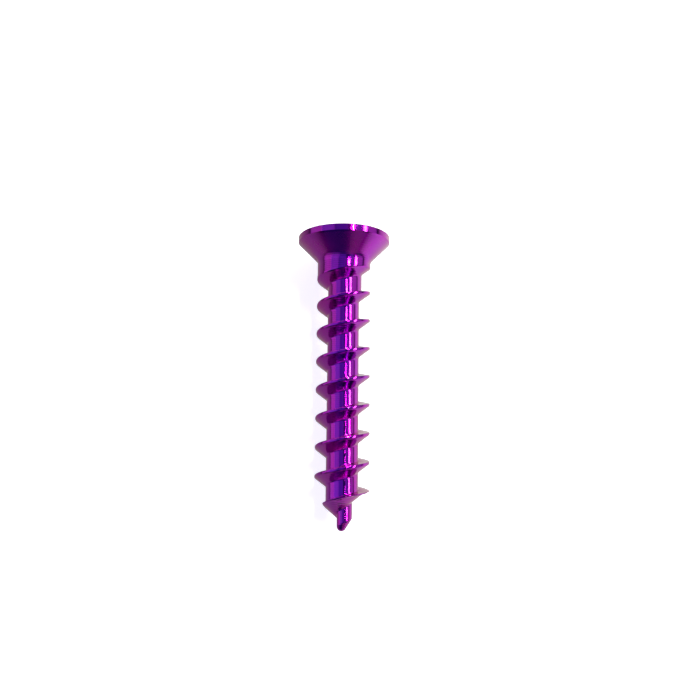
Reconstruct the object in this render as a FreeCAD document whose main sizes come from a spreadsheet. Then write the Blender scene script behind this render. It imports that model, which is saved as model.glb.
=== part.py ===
import FreeCAD, Part
import Sketcher
import math
import os

# Self-tapping bone screw, turned in one piece from titanium bar.
# It is drawn upright, with the head's top face at z = 0 and the point at the bottom,
# and then laid on its side, the way it comes to rest on a table.
# Lengths are in millimetres and angles in degrees. A depth is measured along the axis
# from the head's top face towards the point. An azimuth is counted from +X towards -Y,
# which is the way the right-hand thread turns on its way down.

NODE = "bone_screw"

SIZES = [
    ("screwLength", 10.92, "head's top face to the end of the point"),
    ("headDiameter", 3.45, "across the rim of the head"),
    ("rimHeight", 0.24, "height of the rim, with its chamfer"),
    ("rimBreak", 0.03, "chamfer round the head's top face"),
    ("headAngle", 90, "full angle of the cone under the head"),
    ("neckFillet", 0.35, "radius between the head's cone and the neck"),
    ("threadDiameter", 2.0, "over the crests, and across the neck"),
    ("coreDiameter", 1.17, "at the root of the thread"),
    ("threadPitch", 1.05, "crest to crest, single start"),
    ("threadLead", 0.3, "foot of the head's cone to the crest where the groove is first full"),
    ("startAzimuth", 48, "azimuth of that place, as the screw lies"),
    ("crestWidth", 0.1, "flat land along the crest"),
    ("leadingAngle", 36, "slope of the flank that faces the point"),
    ("bearingAngle", 5, "slope of the flank that faces the head"),
    ("rootFillet", 0.08, "radius between the leading flank and the core"),
    ("runInTurns", 0.667, "turns over which the groove sinks into the neck"),
    ("cutterOverlap", 0.25, "how far the thread cut reaches outside the bar"),
    ("tipAngle", 65, "full angle of the cone at the point"),
    ("tipRadius", 0.17, "rounding at the end of the point"),
    ("tipLead", 0.5, "the core starts to taper this far above the tip cone"),
    ("tipCoreAngle", 22, "slope of the tapering core from the axis"),
    ("tipCoreDiameter", 0.32, "at the root of the thread where its taper ends"),
    ("endTurns", 0.5, "turns of thread beyond that taper"),
    ("slotSpan", 2.0, "end to end of each arm of the cross recess"),
    ("slotWidth", 0.45, "width of the arms of the cross recess"),
    ("slotDepth", 0.6, "depth of the cross recess"),
    ("pilotDiameter", 0.8, "hole in the middle of the cross recess"),
    ("pilotDepth", 0.95, "depth of that hole, down to its cone"),
    ("pilotAngle", 118, "full angle of the cone at its bottom"),
]

os.makedirs("parts", exist_ok=True)
doc = FreeCAD.newDocument(NODE)
sheet = doc.addObject("Spreadsheet::Sheet", "dims")
for row, (alias, number, meaning) in enumerate(SIZES, start=1):
    sheet.set("A%d" % row, alias)
    sheet.set("B%d" % row, str(number))
    sheet.setAlias("B%d" % row, alias)
    sheet.set("C%d" % row, meaning)
doc.recompute()


def value(expression):
    """Return the number that an expression on the sheet's cells gives."""
    return FreeCAD.Units.Quantity(sheet.evalExpression(expression)).Value


# Radii, depths and turns that follow from the sizes above
headRadius = "dims.headDiameter / 2"
threadRadius = "dims.threadDiameter / 2"
coreRadius = "dims.coreDiameter / 2"
threadDepth = "(dims.threadDiameter - dims.coreDiameter) / 2"
neckTop = ("(dims.rimHeight + (dims.headDiameter - dims.threadDiameter) / 2"
           " / tan(dims.headAngle / 2))")
tipCentre = "(dims.screwLength - dims.tipRadius)"
threadStart = f"({neckTop} + dims.threadLead)"
tipConeTop = (f"({tipCentre} + dims.tipRadius / sin(dims.tipAngle / 2)"
              f" - {threadRadius} / tan(dims.tipAngle / 2))")
straightTurns = f"(({tipConeTop} - dims.tipLead - {threadStart}) / dims.threadPitch)"
tipSink = "(dims.coreDiameter - dims.tipCoreDiameter) / 2"
tipTurns = f"({tipSink} / (dims.threadPitch * tan(dims.tipCoreAngle)))"
taperedTurns = f"({straightTurns} + {tipTurns})"


def originPlane(body, role):
    """Return one of the body's own origin planes."""
    return next(item for item in body.Origin.OriginFeatures if item.Role == role)


def newSketch(body, name, role):
    """Add a sketch on one of the body's origin planes."""
    sketch = body.newObject("Sketcher::SketchObject", name)
    sketch.AttachmentSupport = [(originPlane(body, role), "")]
    sketch.MapMode = "FlatFace"
    return sketch


def tie(sketch, name, constraint, expression):
    """Add a named size to a sketch and tie it to the sheet."""
    index = sketch.addConstraint(constraint)
    sketch.renameConstraint(index, name)
    sketch.setExpression("Constraints." + name, expression)


def holdRadius(sketch, name, geometry, point, radius):
    """Keep a point of a sketch at a distance from the screw's axis."""
    if radius == "0":
        sketch.addConstraint(Sketcher.Constraint("PointOnObject", geometry, point, -2))
    else:
        distance = Sketcher.Constraint("DistanceX", -1, 1, geometry, point, value(radius))
        tie(sketch, name + "Radius", distance, radius)


def holdDepth(sketch, name, geometry, point, depth):
    """Keep a point of a sketch at a depth below the head's top face."""
    if depth == "0":
        sketch.addConstraint(Sketcher.Constraint("PointOnObject", geometry, point, -1))
    else:
        distance = Sketcher.Constraint("DistanceY", geometry, point, -1, 1, value(depth))
        tie(sketch, name + "Depth", distance, depth)


def addArc(sketch, centre, start, end):
    """Add the shorter arc from start to end and return its first and last vertex."""
    first = start - centre
    last = end - centre
    clockwise = first.cross(last).z < 0
    low, high = (last, first) if clockwise else (first, last)
    lowAngle = math.atan2(low.y, low.x)
    circle = Part.Circle(centre, FreeCAD.Vector(0, 0, 1), first.Length)
    sketch.addGeometry(Part.ArcOfCircle(circle, lowAngle, lowAngle + low.getAngle(high)))
    return (2, 1) if clockwise else (1, 2)


def drawOutline(sketch, corners):
    """Draw a closed outline through named corners.

    A corner is a name, a radius and a depth. Where a centre's radius and depth follow,
    the side from that corner to the next is an arc, and otherwise it is a line.
    """
    points = [FreeCAD.Vector(value(corner[1]), -value(corner[2]), 0) for corner in corners]
    vertices = []
    for corner, start, end in zip(corners, points, points[1:] + points[:1]):
        if len(corner) == 3:
            sketch.addGeometry(Part.LineSegment(start, end))
            vertices.append((1, 2))
        else:
            centre = FreeCAD.Vector(value(corner[3]), -value(corner[4]), 0)
            vertices.append(addArc(sketch, centre, start, end))
    for side, corner in enumerate(corners):
        following = (side + 1) % len(corners)
        sketch.addConstraint(Sketcher.Constraint(
            "Coincident", side, vertices[side][1], following, vertices[following][0]))
        holdRadius(sketch, corner[0], side, vertices[side][0], corner[1])
        holdDepth(sketch, corner[0], side, vertices[side][0], corner[2])
        if len(corner) > 3:
            holdRadius(sketch, corner[0] + "Centre", side, 3, corner[3])


def drawBar(sketch):
    """Half section of the turned bar: head, neck, shank and rounded point."""
    filletReach = "dims.neckFillet * tan(dims.headAngle / 4)"
    drawOutline(sketch, [
        ("axis", "0", "0"),
        ("top", headRadius + " - dims.rimBreak", "0"),
        ("rimTop", headRadius, "dims.rimBreak"),
        ("rimFoot", headRadius, "dims.rimHeight"),
        ("filletTop", f"{threadRadius} + {filletReach} * sin(dims.headAngle / 2)",
         f"{neckTop} - {filletReach} * cos(dims.headAngle / 2)",
         threadRadius + " + dims.neckFillet", f"{neckTop} + {filletReach}"),
        ("neck", threadRadius, f"{neckTop} + {filletReach}"),
        ("tipCone", threadRadius, tipConeTop),
        ("tipRound", "dims.tipRadius * cos(dims.tipAngle / 2)",
         tipCentre + " + dims.tipRadius * sin(dims.tipAngle / 2)",
         "0", tipCentre),
        ("point", "0", "dims.screwLength"),
    ])


def drawGroove(sketch, crestDepth, sink):
    """Section of the groove below a crest, with its root `sink` under the core's radius."""
    root = f"({coreRadius} - {sink})"
    outside = f"{threadRadius} - {sink} + dims.cutterOverlap"
    upper = f"{crestDepth} + dims.crestWidth / 2"
    lower = f"{crestDepth} + dims.threadPitch - dims.crestWidth / 2"
    upperRoot = f"{upper} + {threadDepth} * tan(dims.leadingAngle)"
    filletReach = "dims.rootFillet * tan((90 - dims.leadingAngle) / 2)"
    drawOutline(sketch, [
        ("upperOutside", outside, upper + " - dims.cutterOverlap * tan(dims.leadingAngle)"),
        ("filletTop", f"{root} + {filletReach} * cos(dims.leadingAngle)",
         f"{upperRoot} - {filletReach} * sin(dims.leadingAngle)",
         root + " + dims.rootFillet", f"{upperRoot} + {filletReach}"),
        ("filletFoot", root, f"{upperRoot} + {filletReach}"),
        ("lowerRoot", root, f"{lower} - {threadDepth} * tan(dims.bearingAngle)"),
        ("lowerOutside", outside, lower + " + dims.cutterOverlap * tan(dims.bearingAngle)"),
    ])


def cutHelix(body, name, sketch, turns, down, slope):
    """Sweep a groove section round the axis; `slope` is its path's angle from the axis."""
    helix = body.newObject("PartDesign::SubtractiveHelix", name)
    helix.Profile = sketch
    helix.ReferenceAxis = (sketch, ["V_Axis"])
    helix.Mode = "pitch-turns-angle"
    helix.LeftHanded = False
    helix.Reversed = down
    helix.setExpression("Pitch", "dims.threadPitch")
    helix.setExpression("Turns", turns)
    helix.setExpression("Angle", slope)
    doc.recompute()


def turnBar(body):
    """Revolve the bar's section round the axis."""
    sketch = newSketch(body, "BarSection", "XZ_Plane")
    drawBar(sketch)
    bar = body.newObject("PartDesign::Revolution", "Bar")
    bar.Profile = sketch
    bar.ReferenceAxis = (sketch, ["V_Axis"])
    bar.Angle = 360
    doc.recompute()


def cutThread(body):
    """Cut the thread: its end at the point, its tapering part, its straight part and its run-in."""
    tipSketch = newSketch(body, "TipGrooveSection", "XZ_Plane")
    upright = FreeCAD.Vector(0, 1, 0)
    tipSketch.AttachmentOffset.Rotation = FreeCAD.Rotation(upright, -90)
    tipSketch.setExpression("AttachmentOffset.Rotation.Angle", f"-360 * mod({taperedTurns}; 1)")
    drawGroove(tipSketch, f"({threadStart} + {taperedTurns} * dims.threadPitch)", tipSink)
    cutHelix(body, "EndGroove", tipSketch, "dims.endTurns", True, "0")
    cutHelix(body, "TipGroove", tipSketch, tipTurns, False, "dims.tipCoreAngle")
    sketch = newSketch(body, "GrooveSection", "XZ_Plane")
    drawGroove(sketch, threadStart, "0")
    cutHelix(body, "Groove", sketch, straightTurns, True, "0")
    runInSlope = f"atan({threadDepth} / (dims.runInTurns * dims.threadPitch))"
    cutHelix(body, "RunIn", sketch, "dims.runInTurns", False, runInSlope)


def cutRecess(body):
    """Cut the cross recess for the driver, with a drilled hole in its middle."""
    slotSketch = newSketch(body, "SlotOutline", "XY_Plane")
    halfSpan = value("dims.slotSpan / 2")
    halfWidth = value("dims.slotWidth / 2")
    corners = [
        FreeCAD.Vector(-halfSpan, -halfWidth, 0),
        FreeCAD.Vector(halfSpan, -halfWidth, 0),
        FreeCAD.Vector(halfSpan, halfWidth, 0),
        FreeCAD.Vector(-halfSpan, halfWidth, 0),
    ]
    for side, (start, end) in enumerate(zip(corners, corners[1:] + corners[:1])):
        slotSketch.addGeometry(Part.LineSegment(start, end))
    for side in range(4):
        slotSketch.addConstraint(Sketcher.Constraint("Coincident", side, 2, (side + 1) % 4, 1))
        direction = "Vertical" if side % 2 else "Horizontal"
        slotSketch.addConstraint(Sketcher.Constraint(direction, side))
    slotSketch.addConstraint(Sketcher.Constraint("Symmetric", 0, 1, 2, 1, -1, 1))
    tie(slotSketch, "span", Sketcher.Constraint("DistanceX", 0, 1, 0, 2, 2 * halfSpan),
        "dims.slotSpan")
    tie(slotSketch, "width", Sketcher.Constraint("DistanceY", 1, 1, 1, 2, 2 * halfWidth),
        "dims.slotWidth")
    slot = body.newObject("PartDesign::Pocket", "Slot")
    slot.Profile = slotSketch
    slot.setExpression("Length", "dims.slotDepth")
    doc.recompute()
    cross = body.newObject("PartDesign::PolarPattern", "CrossRecess")
    cross.Originals = [slot]
    cross.Axis = (slotSketch, ["N_Axis"])
    cross.Occurrences = 2
    cross.Angle = 90
    body.Tip = cross
    doc.recompute()
    pilotSketch = newSketch(body, "PilotOutline", "XY_Plane")
    pilotSketch.addGeometry(Part.Circle(
        FreeCAD.Vector(), FreeCAD.Vector(0, 0, 1), value("dims.pilotDiameter / 2")))
    pilotSketch.addConstraint(Sketcher.Constraint("Coincident", 0, 3, -1, 1))
    tie(pilotSketch, "diameter",
        Sketcher.Constraint("Diameter", 0, value("dims.pilotDiameter")), "dims.pilotDiameter")
    pilot = body.newObject("PartDesign::Hole", "PilotHole")
    pilot.Profile = pilotSketch
    pilot.DepthType = "Dimension"
    pilot.DrillPoint = "Angled"
    pilot.setExpression("Diameter", "dims.pilotDiameter")
    pilot.setExpression("Depth", "dims.pilotDepth")
    pilot.setExpression("DrillPointAngle", "dims.pilotAngle")
    doc.recompute()


def restPlacement():
    """Lay the screw on the rim of its head and its last full crest, head towards +Y.

    The origin is under the middle of the bounding box, on the table.
    """
    turnsToTable = (270 - value("dims.startAzimuth")) / 360
    firstCrest = value(threadStart) + turnsToTable * value("dims.threadPitch")
    lastDepth = value(tipConeTop) - value("dims.crestWidth / 2")
    crests = math.floor((lastDepth - firstCrest) / value("dims.threadPitch"))
    crestDepth = firstCrest + crests * value("dims.threadPitch")
    rimDepth = value("dims.rimHeight")
    rise = value(headRadius) - value(threadRadius)
    tilt = math.atan2(rise, crestDepth - rimDepth)
    height = rimDepth * math.sin(tilt) + value(headRadius) * math.cos(tilt)
    headEnd = max(
        value(headRadius + " - dims.rimBreak") * math.sin(tilt),
        value(headRadius) * math.sin(tilt) - value("dims.rimBreak") * math.cos(tilt),
    )
    pointEnd = -value(tipCentre) * math.cos(tilt) - value("dims.tipRadius")
    spin = FreeCAD.Rotation(FreeCAD.Vector(0, 0, 1), -value("dims.startAzimuth"))
    lay = FreeCAD.Rotation(FreeCAD.Vector(1, 0, 0), math.degrees(tilt) - 90)
    print("tilt %.3f degrees" % math.degrees(tilt))
    print("head's top centre at y %.4f, z %.4f" % (-(headEnd + pointEnd) / 2, height))
    return FreeCAD.Placement(FreeCAD.Vector(0, -(headEnd + pointEnd) / 2, height), lay * spin)


def checkModel(body):
    """Stop if a feature failed, or if a cut took nothing away."""
    for item in doc.Objects:
        if "Invalid" in item.State or "Error" in item.State:
            raise RuntimeError("%s failed: %s" % (item.Name, item.getStatusString()))
    solids = [item for item in body.Group if item.isDerivedFrom("PartDesign::Feature")]
    for before, after in zip(solids, solids[1:]):
        if after.Shape.Volume > before.Shape.Volume - 1e-3:
            raise RuntimeError("%s removed nothing" % after.Name)
    if body.Shape.isNull() or not body.Shape.isValid() or len(body.Shape.Solids) != 1:
        raise RuntimeError("%s isn't one valid solid" % body.Label)


screw = doc.addObject("PartDesign::Body", "Screw")
screw.Label = NODE
turnBar(screw)
cutThread(screw)
cutRecess(screw)
screw.Placement = restPlacement()
doc.recompute()
checkModel(screw)
screw.Shape.exportStep("parts/%s.step" % screw.Label)
print("%s: %.4f cubic mm" % (screw.Label, screw.Shape.Volume), screw.Shape.BoundBox)
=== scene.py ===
import math
import bmesh
import bpy
import numpy as np
from mathutils import Matrix, Vector


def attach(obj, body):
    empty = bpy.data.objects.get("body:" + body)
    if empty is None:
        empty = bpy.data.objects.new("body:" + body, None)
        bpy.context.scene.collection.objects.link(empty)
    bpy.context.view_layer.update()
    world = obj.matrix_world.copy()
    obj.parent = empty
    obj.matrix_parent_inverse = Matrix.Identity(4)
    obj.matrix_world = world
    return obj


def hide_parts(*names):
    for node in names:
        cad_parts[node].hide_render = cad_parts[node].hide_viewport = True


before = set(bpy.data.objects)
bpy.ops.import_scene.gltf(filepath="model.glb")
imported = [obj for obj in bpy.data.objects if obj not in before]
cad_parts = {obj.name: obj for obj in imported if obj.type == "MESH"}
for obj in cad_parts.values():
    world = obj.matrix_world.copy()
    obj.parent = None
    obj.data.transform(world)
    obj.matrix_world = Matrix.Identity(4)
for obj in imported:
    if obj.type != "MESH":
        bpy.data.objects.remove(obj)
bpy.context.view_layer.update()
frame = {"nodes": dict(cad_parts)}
print("frame loaded, nodes:", ", ".join(frame["nodes"]))


# The screw's sizes in millimetres and degrees, and how it lies on the table
screw = {
    "length": 10.92,          # top of the head to the end of the point
    "headDiameter": 3.45,
    "rimHeight": 0.24,        # the head's straight side, from its top down to its cone
    "rimBreak": 0.03,         # bevel round the head's top
    "headAngle": 90,          # between opposite sides of the cone
    "neckFillet": 0.35,
    "threadDiameter": 2.0,
    "coreDiameter": 1.17,
    "pitch": 1.05,
    "threadLead": 0.3,        # foot of the head's cone to the crest where the groove is full
    "startAzimuth": 48,       # where that place is, counted from the right side upwards
    "crestWidth": 0.1,
    "leadingAngle": 36,       # the flank that faces the point, off square to the axis
    "bearingAngle": 5,        # the flank that faces the head
    "rootRounding": 0.05,     # height over which the leading flank is rounded into the core
    "runInTurns": 0.667,      # over which the groove sinks in, under the head
    "tipAngle": 65,           # between opposite sides of the point
    "tipRadius": 0.17,
    "tipLead": 0.5,           # how far above the point's cone the core begins to taper
    "tipCoreAngle": 22,       # that taper, off the axis
    "tipCoreDiameter": 0.32,  # where that taper ends
    "endTurns": 0.5,          # turns of thread past that
    "tilt": 4.594,            # the axis off level
    "topY": 5.3748,           # middle of the head's top face
    "topZ": 1.7387,
}

# The driver's recess, in millimetres and degrees
recess = {
    "slotSpan": 2.0,          # from end to end of two arms
    "slotWidth": 0.45,
    "slotDepth": 0.6,
    "pilotDiameter": 0.8,     # the drilled hole in the middle
    "pilotDepth": 0.95,
    "pilotAngle": 118,        # between opposite sides of its cone
    "edgeBreak": 0.02,        # bevel round the recess
}

# How finely the threaded bar is laid out, in millimetres unless a note says otherwise
fineness = {
    "threadTop": 0.8,         # depth at which rows begin to follow the thread
    "rowsPerTurn": 48,        # rows over one pitch of the thread
    "samplesPerTurn": 4001,   # points over one pitch, among which the rows are placed
    "cornerRows": 2.5,        # how many more there are at a corner of the section, as a share
    "cornerReach": 0.045,     # how far that reaches to each side of a corner
    "tipRows": 9,             # rows from the point's cone to its end
    "cornerTime": 2.6e-4,     # mm2, how long corners are worn round: radius about its square root
    "cornerStep": 1.2e-5,     # mm2, how much of that time one step takes
    "steadyStep": 0.4,        # the largest step, as a share of the product of a row's gaps
    "heldGap": 1e-5,          # rows nearer than this to a neighbour stay where they are
    "leastGap": 1e-6,         # keeps a division by a gap off zero
    # Columns from an arm's middle to its corner, to the hole in the middle and to the diagonal
    "eighthColumns": (4, 8, 5),
    "mergeDistance": 2e-7,    # metres, between points that become one
    "leastEdge": 1e-8,        # metres
    "sharpAngle": 38,         # degrees, past which an edge is shaded as a sharp one
}

# Where the head's rows stand: as shares of the way over a face, or how many there are
headRows = {
    "drilledCone": (0.25, 0.5, 0.75, 0.97),
    "pilotWall": 5,
    "slotFloor": (0.06, 0.35, 0.65, 0.94, 1),
    "slotWall": 7,
    "topFace": (0, 0.04, 0.2, 0.4, 0.6, 0.8, 0.97, 1),
    "rimBreak": (0.5, 1),
    "rim": 6,
    "cone": 12,
}


# Tangent of an angle in degrees
def slope(angle):
    return math.tan(math.radians(angle))


# Worked out from the sizes: radii, depths under the head's top, and turns of the thread from
# where its groove is full
headRadius = screw["headDiameter"] / 2
threadRadius = screw["threadDiameter"] / 2
coreRadius = screw["coreDiameter"] / 2
threadDepth = threadRadius - coreRadius
neckTop = screw["rimHeight"] + (headRadius - threadRadius) / slope(screw["headAngle"] / 2)
threadStart = neckTop + screw["threadLead"]
tipCentre = screw["length"] - screw["tipRadius"]
tipHalf = math.radians(screw["tipAngle"] / 2)
coneTop = tipCentre + screw["tipRadius"] / math.sin(tipHalf) - threadRadius / math.tan(tipHalf)
coneEnd = tipCentre + screw["tipRadius"] * math.sin(tipHalf)
straightTurns = (coneTop - screw["tipLead"] - threadStart) / screw["pitch"]
taper = screw["pitch"] * slope(screw["tipCoreAngle"])  # what the core loses in one turn
allTurns = straightTurns + (coreRadius - screw["tipCoreDiameter"] / 2) / taper + screw["endTurns"]


# Radius of the turned bar at a depth under the head's top: the head's cone, or the thread's
# radius where that is more, with an arc between them, and cut back by the cone at the point
def barRadius(depth):
    cone = headRadius - (depth - screw["rimHeight"]) * slope(screw["headAngle"] / 2)
    reach = screw["neckFillet"] * slope(screw["headAngle"] / 4)
    middle = neckTop + reach
    arcTop = neckTop - reach * math.cos(math.radians(screw["headAngle"] / 2))
    square = np.maximum(screw["neckFillet"] ** 2 - (depth - middle) ** 2, 0)
    arc = threadRadius + screw["neckFillet"] - np.sqrt(square)
    bar = np.where((depth > arcTop) & (depth < middle), arc, np.maximum(cone, threadRadius))
    return np.minimum(bar, threadRadius - (depth - coneTop) * slope(screw["tipAngle"] / 2))


# Radius of one turn of the groove: the core, plus the height of whichever flank is higher. The
# upper flank falls from the crest at the leading angle and is rounded into the core, and the
# lower one rises to the next crest at the bearing angle. below is the depth under the crest,
# and turns is how far round from where the groove is full. Before that place the core rises
# evenly to the thread's radius, and near the point it falls evenly.
def grooveRadius(below, turns):
    core = coreRadius + np.maximum(-turns, 0) * threadDepth / screw["runInTurns"]
    core = core - np.maximum(turns - straightTurns, 0) * taper
    core = np.maximum(core, screw["tipCoreDiameter"] / 2)
    leading = slope(screw["leadingAngle"])
    bearing = slope(screw["bearingAngle"])
    upper = threadDepth - (below - screw["crestWidth"] / 2) / leading
    foot = screw["pitch"] - screw["crestWidth"] / 2 - threadDepth * bearing
    lower = (below - foot) / bearing
    soft = screw["rootRounding"]
    rounding = np.maximum(soft - np.abs(upper), 0) ** 2 / (4 * soft)
    height = np.maximum(np.maximum(upper, 0) + rounding, lower)
    outside = (turns < -screw["runInTurns"]) | (turns > allTurns)
    return np.where(outside, 2 * threadRadius, core + height)


# Radius of the threaded bar: the least of the bar's radius and those of the grooves under the
# two crests above that depth
def shankRadius(depth, azimuth):
    radius = barRadius(depth)
    crest = np.floor((depth - threadStart) / screw["pitch"] - azimuth / 360)
    for earlier in (0, 1):
        turns = azimuth / 360 + crest - earlier
        below = depth - threadStart - screw["pitch"] * turns
        radius = np.minimum(radius, grooveRadius(below, turns))
    return radius


# Outline of the cross recess, grown by a margin: the distance from the axis to the wall of
# whichever arm reaches further that way, and at least the radius of the hole in the middle
def recessRadius(azimuth, margin):
    nearZero = 1e-9           # keeps the divisions off zero
    across = np.maximum(np.abs(np.cos(np.radians(azimuth))), nearZero)
    along = np.maximum(np.abs(np.sin(np.radians(azimuth))), nearZero)
    half = recess["slotWidth"] / 2 + margin
    span = recess["slotSpan"] / 2 + margin
    oneArm = np.minimum(span / across, half / along)
    otherArm = np.minimum(half / across, span / along)
    return np.maximum(np.maximum(oneArm, otherArm), recess["pilotDiameter"] / 2 + margin)


# Azimuths of the columns, from an arm of the recess all the way round. Columns stand on
# the corners of the arms, so that the recess keeps its shape.
def columnAzimuths():
    corner = math.degrees(math.atan(recess["slotWidth"] / recess["slotSpan"]))
    meeting = math.degrees(math.asin(recess["slotWidth"] / recess["pilotDiameter"]))
    anchors = (0, corner, meeting, 45)
    eighth = [np.linspace(low, high, count, endpoint=False)
              for low, high, count in zip(anchors, anchors[1:], fineness["eighthColumns"])]
    eighth = np.concatenate(eighth)
    quarter = np.concatenate([eighth, [45], 90 - eighth[:0:-1]])
    return np.concatenate([quarter + turn for turn in (0, 90, 180, 270)] + [[360]])


# Depths of the rows over one pitch, under a crest: evenly spaced along the flanks and the
# core, and closer by a bell curve where the section turns a corner
def rowDepths():
    fine = np.linspace(0, screw["pitch"], fineness["samplesPerTurn"])
    height = np.minimum(grooveRadius(fine, np.ones_like(fine)) - coreRadius, threadDepth)
    travel = np.concatenate([[0], np.cumsum(np.hypot(np.diff(fine), np.diff(height)))])
    half = screw["crestWidth"] / 2
    corners = np.array([
        half,
        half + threadDepth * slope(screw["leadingAngle"]),
        screw["pitch"] - half - threadDepth * slope(screw["bearingAngle"]),
        screw["pitch"] - half,
    ])
    away = travel[:, None] - np.interp(corners, fine, travel)[None, :]
    bells = np.exp(-(away / fineness["cornerReach"]) ** 2)
    density = 1 + fineness["cornerRows"] * bells.sum(axis=1)
    count = np.concatenate([[0], np.cumsum(np.diff(travel) * density[1:])])
    even = np.arange(fineness["rowsPerTurn"]) / fineness["rowsPerTurn"]
    return np.interp(even * count[-1], count, fine)


# Wear sharp corners round: each row moves towards the middle of its neighbours in the
# same column, as a curve does that shortens itself, and straight stretches stay as they are
def roundCorners(depth, radius):
    for step in range(round(fineness["cornerTime"] / fineness["cornerStep"])):
        downDepth = np.diff(depth, axis=0)
        downRadius = np.diff(radius, axis=0)
        gap = np.hypot(downDepth, downRadius)
        above = np.maximum(gap[:-1], fineness["leastGap"])
        below = np.maximum(gap[1:], fineness["leastGap"])
        most = fineness["steadyStep"] * above * below
        pace = np.minimum(fineness["cornerStep"], most) * 2 / (above + below)
        pace = np.where(np.minimum(gap[:-1], gap[1:]) < fineness["heldGap"], 0, pace)
        depth[1:-1] += pace * (downDepth[1:] / below - downDepth[:-1] / above)
        radius[1:-1] += pace * (downRadius[1:] / below - downRadius[:-1] / above)
    return depth, radius


# Where a depth, a radius and an azimuth lie in the frame, in metres: the azimuth turns the
# radius round the axis, which falls from the middle of the head's top by the tilt
def framePlace(depth, radius, azimuth):
    turn = np.radians(azimuth + screw["startAzimuth"])
    tilt = math.radians(screw["tilt"])
    side = radius * np.sin(turn)
    x = radius * np.cos(turn)
    y = screw["topY"] - depth * math.cos(tilt) - side * math.sin(tilt)
    z = screw["topZ"] - depth * math.sin(tilt) + side * math.cos(tilt)
    return np.stack([x, y, z], axis=-1) / 1000


# The head as rows of depth and radius, with one column for each azimuth: the drilled hole and
# the recess from the inside out, then the top, the rim and the upper part of the cone
def headSection(azimuth):
    ones = np.ones_like(azimuth)
    pilot = recess["pilotDiameter"] / 2
    drillDepth = recess["pilotDepth"] + pilot / slope(recess["pilotAngle"] / 2)
    wall = recessRadius(azimuth, 0)
    edge = recessRadius(azimuth, recess["edgeBreak"])
    top = headRadius - screw["rimBreak"]
    rows = [(drillDepth * ones, 0 * ones)]
    for part in headRows["drilledCone"]:
        depth = drillDepth + (recess["pilotDepth"] - drillDepth) * part
        rows.append((depth * ones, pilot * part * ones))
    for depth in np.linspace(recess["pilotDepth"], recess["slotDepth"], headRows["pilotWall"]):
        rows.append((depth * ones, pilot * ones))
    for part in headRows["slotFloor"]:
        rows.append((recess["slotDepth"] * ones, pilot + (wall - pilot) * part))
    for depth in np.linspace(recess["slotDepth"], recess["edgeBreak"], headRows["slotWall"])[1:]:
        rows.append((depth * ones, wall))
    for part in headRows["topFace"]:
        rows.append((0 * ones, edge + (top - edge) * part))
    for part in headRows["rimBreak"]:
        rows.append((screw["rimBreak"] * part * ones, (top + screw["rimBreak"] * part) * ones))
    for depth in np.linspace(screw["rimBreak"], screw["rimHeight"], headRows["rim"])[1:]:
        rows.append((depth * ones, headRadius * ones))
    for depth in np.linspace(screw["rimHeight"], fineness["threadTop"], headRows["cone"])[1:-1]:
        rows.append((depth * ones, barRadius(depth * ones)))
    return [np.stack(column) for column in zip(*rows)]


# The threaded bar, from the head's cone to the end of the point's cone: rows that go round with
# the thread and stop at both ends, with the corners of the section worn round
def threadSection(azimuth):
    threadTop = fineness["threadTop"]
    turns = np.arange(-2, math.ceil(allTurns) + 3)
    start = (threadStart + screw["pitch"] * turns[:, None] + rowDepths()[None, :]).ravel()
    depth = start[:, None] + screw["pitch"] * azimuth[None, :] / 360
    depth = np.clip(depth, threadTop, coneEnd)
    used = (depth > threadTop).any(axis=1) & (depth < coneEnd).any(axis=1)
    first = np.flatnonzero(used)[0] - 1
    last = np.flatnonzero(used)[-1] + 1
    depth = depth[first:last + 1]
    return roundCorners(depth, shankRadius(depth, azimuth[None, :]))


# The rounded end of the point: a ball, whose radius is scaled to meet the last row of the cone
def tipSection(azimuth, lastRadius):
    fall = np.linspace(tipHalf, math.pi / 2, fineness["tipRows"])[1:]
    depth = tipCentre + screw["tipRadius"] * np.sin(fall)[:, None] * np.ones_like(azimuth)
    radius = np.cos(fall)[:, None] / math.cos(tipHalf) * lastRadius[None, :]
    radius[-1] = 0
    return depth, radius


# A mesh through a grid of points. Rows that meet are merged, which closes the seam, where a
# row runs into the one a pitch below, and the poles.
def gridMesh(name, points):
    rows, columns = points.shape[:2]
    index = np.arange(rows * columns).reshape(rows, columns)
    corners = (index[:-1, :-1], index[1:, :-1], index[1:, 1:], index[:-1, 1:])
    faces = np.stack(corners, axis=-1).reshape(-1, 4)
    mesh = bpy.data.meshes.new(name)
    mesh.from_pydata(points.reshape(-1, 3).tolist(), [], faces.tolist())
    work = bmesh.new()
    work.from_mesh(mesh)
    bmesh.ops.remove_doubles(work, verts=work.verts, dist=fineness["mergeDistance"])
    bmesh.ops.dissolve_degenerate(work, edges=work.edges, dist=fineness["leastEdge"])
    bmesh.ops.recalc_face_normals(work, faces=work.faces)
    loose = sum(1 for item in work.edges if len(item.link_faces) != 2)
    print(name, "faces", len(work.faces), "open or shared edges", loose, "volume mm3",
          round(work.calc_volume() * 1e9, 3))
    work.to_mesh(mesh)
    work.free()
    mesh.polygons.foreach_set("use_smooth", [True] * len(mesh.polygons))
    mesh.set_sharp_from_angle(angle=math.radians(fineness["sharpAngle"]))
    return mesh


azimuths = columnAzimuths()
headPart = headSection(azimuths)
threadPart = threadSection(azimuths)
tipPart = tipSection(azimuths, threadPart[1][-1])
depths, radii = [np.concatenate(rows) for rows in zip(headPart, threadPart, tipPart)]
screwMesh = gridMesh("screw_body", framePlace(depths, radii, azimuths[None, :]))
screwBody = bpy.data.objects.new("screw_body", screwMesh)
bpy.context.collection.objects.link(screwBody)
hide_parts("bone_screw")
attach(screwBody, "root")
print("screw built,", len(screwMesh.vertices), "points")


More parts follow.
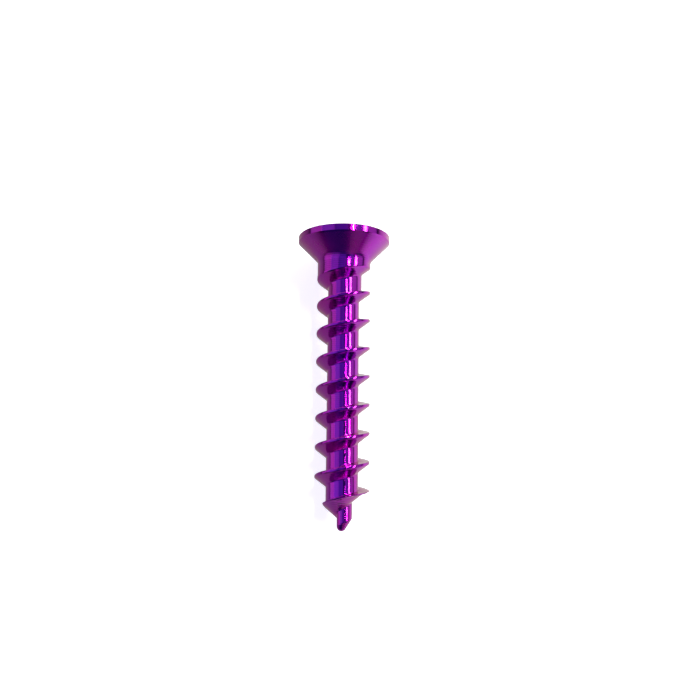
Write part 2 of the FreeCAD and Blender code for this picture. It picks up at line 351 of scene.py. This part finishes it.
# Violet anodised titanium: lengths in metres
finish = {
    "violet": (0.46, 0.004, 0.41, 1),  # the film's main colour
    "bluer": (0.38, 0.004, 0.50, 1),   # where the film is a shade thinner
    "edge": (1.0, 0.74, 0.62, 1),      # tint at a grazing angle
    "roughness": (0.08, 0.16),         # lowest and highest, from place to place
    "coneRoughness": 0.16,             # added on the head's cone
    "coneDepths": (0.26e-3, 0.30e-3),  # between which that comes in, under the head's top
    "coneRadii": (1.0e-3, 1.12e-3),    # between which it comes in, from the axis
    "clearIor": 1.36,                  # the clear outside of the film, which mirrors white
    "clearRoughness": 0.05,
    "grain": (1500.0, 3.0),            # noises: cells along a metre, and octaves
    "patches": (2600.0, 2.0),
    "slow": (700.0, 2.0),
    "toolFeed": 0.075e-3,              # from one turning mark to the next
    "toolWander": 0.05e-3,             # how far the grain moves a mark
    "toolDepth": 2.0e-6,               # height of a turning mark
    "toolSlant": 0.15,                 # share of the radius in the count of the marks
    "toolPatches": (0.35, 1.2),        # lowest and highest share of that height, in patches
    # Radii in millimetres, and the share of that height there: full on the core, the crests and
    # the neck, and less on the flanks and the polished head
    "toolShares": ((0.59, 1.0), (0.65, 0.3), (0.94, 0.3), (0.98, 1.0), (1.03, 1.0), (1.12, 0.15)),
    "sharesEnd": 1.25,                 # radius in millimetres past all of them
    "waveDepth": 1.5e-6,               # height of the surface's slow unevenness
}
noiseEnds = (0.3, 0.7)                 # nearly all of a noise's values lie between these


# The node tree of a material or a world, emptied
def emptyTree(owner):
    owner.use_nodes = True
    owner.node_tree.nodes.clear()
    return owner.node_tree


# A shader node, with constants set on its own sockets
def node(tree, kind, **inputs):
    made = tree.nodes.new(kind)
    for name, content in inputs.items():
        made.inputs[name.replace("_", " ")].default_value = content
    return made


# The result of an operation on numbers and sockets
def maths(tree, operation, first, second=0.0, third=0.0):
    made = tree.nodes.new("ShaderNodeMath")
    made.operation = operation
    for socket, content in zip(made.inputs, (first, second, third)):
        if isinstance(content, (int, float)):
            socket.default_value = content
        else:
            tree.links.new(content, socket)
    return made.outputs[0]


# A straight line from low, where the source is at start, to high, where it is at end, and level
# outside these
def ramp(tree, source, start, end, low=0.0, high=1.0):
    made = node(tree, "ShaderNodeMapRange", From_Min=start, From_Max=end, To_Min=low, To_Max=high)
    tree.links.new(source, made.inputs["Value"])
    return made.outputs["Result"]


# A noise at a place, by its cells along a metre and its octaves
def noise(tree, place, cells, octaves):
    made = node(tree, "ShaderNodeTexNoise", Scale=cells, Detail=octaves)
    tree.links.new(place, made.inputs["Vector"])
    return made.outputs[0]


# One shader where the factor is 0, and another where it is 1
def mixShaders(tree, factor, first, second):
    made = tree.nodes.new("ShaderNodeMixShader")
    tree.links.new(factor, made.inputs[0])
    tree.links.new(first.outputs[0], made.inputs[1])
    tree.links.new(second.outputs[0], made.inputs[2])
    return made


# A place on the screw in its own axes, in metres, with the distances along the axis and from
# it. Its axis is Y, which is zero at the head's top and negative below.
def screwAxes(tree):
    place = tree.nodes.new("ShaderNodeTexCoord")
    straight = node(tree, "ShaderNodeMapping")
    tilt = math.radians(screw["tilt"])
    top = Vector((0, screw["topY"], screw["topZ"])) / 1000
    straight.vector_type = "POINT"
    straight.inputs["Rotation"].default_value = (-tilt, 0, 0)
    straight.inputs["Location"].default_value = -(Matrix.Rotation(-tilt, 3, "X") @ top)
    tree.links.new(place.outputs["Object"], straight.inputs["Vector"])
    parts = node(tree, "ShaderNodeSeparateXYZ")
    tree.links.new(straight.outputs["Vector"], parts.inputs["Vector"])
    square = maths(tree, "MULTIPLY", parts.outputs["Z"], parts.outputs["Z"])
    square = maths(tree, "MULTIPLY_ADD", parts.outputs["X"], parts.outputs["X"], square)
    return straight.outputs["Vector"], parts.outputs["Y"], maths(tree, "SQRT", square)


# Height of the turning marks: a sine of the depth less a share of the radius, so that marks
# follow the axis on round faces and the radius on flat ones. The grain moves them a little, and
# they are stronger and weaker in patches and by radius.
def turningMarks(tree, place, along, radius, grain):
    travel = maths(tree, "MULTIPLY_ADD", radius, finish["toolSlant"], along)
    wander = maths(tree, "MULTIPLY_ADD", grain, finish["toolWander"], travel)
    mark = maths(tree, "SINE", maths(tree, "MULTIPLY", wander, 2 * math.pi / finish["toolFeed"]))
    patches = noise(tree, place, *finish["patches"])
    strength = ramp(tree, patches, *noiseEnds, *finish["toolPatches"])
    shares = tree.nodes.new("ShaderNodeValToRGB")
    steps = shares.color_ramp.elements
    while len(steps) < len(finish["toolShares"]):
        steps.new(0.5)
    for step, (reached, share) in zip(steps, finish["toolShares"]):
        step.position = reached / finish["sharesEnd"]
        step.color = (share, share, share, 1)
    outward = maths(tree, "MULTIPLY", radius, 1000 / finish["sharesEnd"])
    tree.links.new(outward, shares.inputs["Fac"])
    strength = maths(tree, "MULTIPLY", strength, shares.outputs["Color"])
    return maths(tree, "MULTIPLY", maths(tree, "MULTIPLY", mark, strength), finish["toolDepth"])


# A mirroring metal under a clear coat: the slow noise mixes its two tones and makes it uneven,
# the turning marks stand on that, and the grain varies its roughness, which is more on the cone
def anodisedTitanium():
    material = bpy.data.materials.new("anodised_titanium_turned")
    tree = emptyTree(material)
    place, along, radius = screwAxes(tree)
    grain = noise(tree, place, *finish["grain"])
    slow = noise(tree, place, *finish["slow"])
    marks = turningMarks(tree, place, along, radius, grain)
    height = maths(tree, "MULTIPLY_ADD", slow, finish["waveDepth"], marks)
    bump = node(tree, "ShaderNodeBump", Strength=1.0, Distance=1.0)
    tree.links.new(height, bump.inputs["Height"])
    tone = tree.nodes.new("ShaderNodeMix")
    tone.data_type = "RGBA"
    tone.inputs["A"].default_value = finish["violet"]
    tone.inputs["B"].default_value = finish["bluer"]
    tree.links.new(ramp(tree, slow, *noiseEnds), tone.inputs["Factor"])
    colour = next(item for item in tone.outputs if item.type == "RGBA")
    under = ramp(tree, along, -finish["coneDepths"][0], -finish["coneDepths"][1])
    onCone = maths(tree, "MULTIPLY", ramp(tree, radius, *finish["coneRadii"]), under)
    rough = ramp(tree, grain, *noiseEnds, *finish["roughness"])
    rough = maths(tree, "MULTIPLY_ADD", onCone, finish["coneRoughness"], rough)
    metal = node(tree, "ShaderNodeBsdfPrincipled", Metallic=1.0, Specular_Tint=finish["edge"],
                 Coat_Weight=1.0, Coat_IOR=finish["clearIor"],
                 Coat_Roughness=finish["clearRoughness"])
    tree.links.new(colour, metal.inputs["Base Color"])
    tree.links.new(rough, metal.inputs["Roughness"])
    tree.links.new(bump.outputs["Normal"], metal.inputs["Normal"])
    output = tree.nodes.new("ShaderNodeOutputMaterial")
    tree.links.new(metal.outputs["BSDF"], output.inputs["Surface"])
    return material


screwMesh.materials.append(anodisedTitanium())
print("finish made")


# The pale table: sizes in metres
table = {
    "size": 1.2,
    "colour": (0.86, 0.86, 0.87, 1),
    "glow": 0.72,                      # added where the camera sees the table
    "mirrored": (0.38, 1.12),          # painted light levels at which the screw mirrors it, left and right: darker left as painted shade
    "mirroredReach": (-0.001, 0.004),  # across, between which it changes from one to the other
    "mirroredFall": (0.006, 0.07),     # distances between which the mirrored table falls dark
    "mirroredPower": 3.0,              # more than 1 makes that fall steep at first
}


# A matt white, to which the camera sees a glow added, so that the table looks white and still
# shows the screw's shadow. Glossy and transmission rays see a painted light instead, a glow that
# the screw mirrors. Its level is a line that rises from left to right, painted shade on the left
# and painted light on the right, times a power of a line that falls with distance.
def paleTable():
    material = bpy.data.materials.new("pale_table")
    tree = emptyTree(material)
    matt = node(tree, "ShaderNodeBsdfDiffuse", Color=table["colour"])
    glow = node(tree, "ShaderNodeEmission", Color=(1, 1, 1, 1), Strength=table["glow"])
    rays = tree.nodes.new("ShaderNodeLightPath")
    place = tree.nodes.new("ShaderNodeTexCoord")
    parts = tree.nodes.new("ShaderNodeSeparateXYZ")
    tree.links.new(place.outputs["Object"], parts.inputs["Vector"])
    level = ramp(tree, parts.outputs["X"], *table["mirroredReach"], *table["mirrored"])
    away = tree.nodes.new("ShaderNodeVectorMath")
    away.operation = "LENGTH"
    tree.links.new(place.outputs["Object"], away.inputs[0])
    fall = ramp(tree, away.outputs["Value"], *table["mirroredFall"], 1.0, 0.0)
    fade = maths(tree, "POWER", fall, table["mirroredPower"])
    # The painted reflection: a glow that the screw mirrors in place of the lit table, with painted
    # shade to the left
    paintedReflection = node(tree, "ShaderNodeEmission", Color=(1, 1, 1, 1))
    tree.links.new(maths(tree, "MULTIPLY", level, fade), paintedReflection.inputs["Strength"])
    lit = tree.nodes.new("ShaderNodeAddShader")
    tree.links.new(matt.outputs[0], lit.inputs[0])
    tree.links.new(glow.outputs[0], lit.inputs[1])
    plain = mixShaders(tree, rays.outputs["Is Camera Ray"], matt, lit)
    glossy = rays.outputs["Is Glossy Ray"]
    mirrors = maths(tree, "MAXIMUM", glossy, rays.outputs["Is Transmission Ray"])
    output = tree.nodes.new("ShaderNodeOutputMaterial")
    tree.links.new(mixShaders(tree, mirrors, plain, paintedReflection).outputs[0], output.inputs["Surface"])
    return material


reach = table["size"] / 2
corners = [(-reach, -reach, 0), (reach, -reach, 0), (reach, reach, 0), (-reach, reach, 0)]
tableMesh = bpy.data.meshes.new("table")
tableMesh.from_pydata(corners, [], [(0, 1, 2, 3)])
tableMesh.materials.append(paleTable())
tableTop = bpy.data.objects.new("table", tableMesh)
bpy.context.collection.objects.link(tableTop)

# The room: a dim blue to the screw, and to the camera as pale as the far end of the table
room = {
    "light": (0.16, 0.20, 1.0, 1),
    "level": 0.11,
    "seen": (0.74, 0.74, 0.75, 1),
}
world = bpy.data.worlds.new("studio")
worldTree = emptyTree(world)
dim = node(worldTree, "ShaderNodeBackground", Color=room["light"], Strength=room["level"])
pale = node(worldTree, "ShaderNodeBackground", Color=room["seen"], Strength=1.0)
worldRays = worldTree.nodes.new("ShaderNodeLightPath")
worldMix = mixShaders(worldTree, worldRays.outputs["Is Camera Ray"], dim, pale)
worldOutput = worldTree.nodes.new("ShaderNodeOutputWorld")
worldTree.links.new(worldMix.outputs[0], worldOutput.inputs["Surface"])
bpy.context.scene.world = world

# Where the lamps stand round the screw, in metres and degrees
studio = {
    "middle": (0, 0, 0.0013),
    "distance": 0.12,
    "gridMargin": 6,          # how far past a lamp's ends its grid lets it be seen
}

# Lamps: angle round the screw from overhead to the right, angle towards its head, width
# and length as angles, level at which a white mirror would show its middle, and tint
lamps = {
    "lowLeft": (-74, -4, 38, 90, 0.85, (1.0, 0.85, 0.95)),
    "wideSoft": (-40, -6, 36, 100, 0.80, (0.52, 0.60, 1.0)),
    "overhead": (-6, -6, 32, 90, 0.48, (0.32, 0.30, 1.0)),
    "thinStrip": (22, 24, 2.5, 30, 110.0, (1.0, 1.0, 1.0)),
    "coolStrip": (34, -6, 18, 90, 0.50, (0.50, 0.60, 1.0)),
    "brightStrip": (53, 8, 8, 56, 20.0, (1.0, 0.97, 0.98)),
    "softRight": (74, 4, 26, 80, 0.70, (1.0, 0.85, 0.95)),
    "frontRight": (58, -58, 46, 30, 0.46, (1.0, 0.70, 0.62)),
    "behind": (-10, 62, 110, 26, 2.4, (1.0, 0.98, 0.92)),
}


# A soft box at an angle round the screw and an angle towards its head, turned to face it. A
# grid narrows its light, so that it fades evenly from its middle to just past its ends; the
# energy makes up for what the grid takes away.
def addLamp(name, side, along, width, length, level, tint):
    sideways = math.radians(side)
    lengthways = math.radians(along)
    direction = Vector((
        math.sin(sideways) * math.cos(lengthways),
        math.sin(lengthways),
        math.cos(sideways) * math.cos(lengthways),
    ))
    light = bpy.data.lights.new(name, "AREA")
    light.shape = "RECTANGLE"
    light.size = 2 * studio["distance"] * slope(width / 2)
    light.size_y = 2 * studio["distance"] * slope(length / 2)
    grid = math.radians(max(width, length) / 2 + studio["gridMargin"])
    light.spread = 2 * grid
    light.energy = level * math.pi * light.size * light.size_y * (1 - grid / math.tan(grid))
    light.color = tint
    lengthAxis = (Vector((0, 1, 0)) - direction * direction.y).normalized()
    turn = Matrix((lengthAxis.cross(direction), lengthAxis, direction)).transposed()
    place = Vector(studio["middle"]) + direction * studio["distance"]
    lamp = bpy.data.objects.new(name, light)
    lamp.matrix_world = Matrix.Translation(place) @ turn.to_4x4()
    bpy.context.collection.objects.link(lamp)


for name, numbers in lamps.items():
    addLamp(name, *numbers)
print("studio set,", len(lamps), "lamps")


# The camera, from above the screw's point, looking down along it: millimetres and degrees
view = {
    "place": (0.0325, -6.8488, 31.2779),
    "turn": (15.203, -0.139, 0.511),
    "lens": 43.551,
    "sensor": 36,
    "clip": (1, 10000),       # nearest and farthest that it sees
}
cameraData = bpy.data.cameras.new("camera")
cameraData.lens = view["lens"]
cameraData.sensor_width = view["sensor"]
cameraData.clip_start = view["clip"][0] / 1000
cameraData.clip_end = view["clip"][1] / 1000
camera = bpy.data.objects.new("camera", cameraData)
camera.location = Vector(view["place"]) / 1000
camera.rotation_euler = [math.radians(angle) for angle in view["turn"]]
bpy.context.collection.objects.link(camera)
bpy.context.scene.camera = camera
bpy.context.scene.view_settings.view_transform = "Standard"
print("camera set")
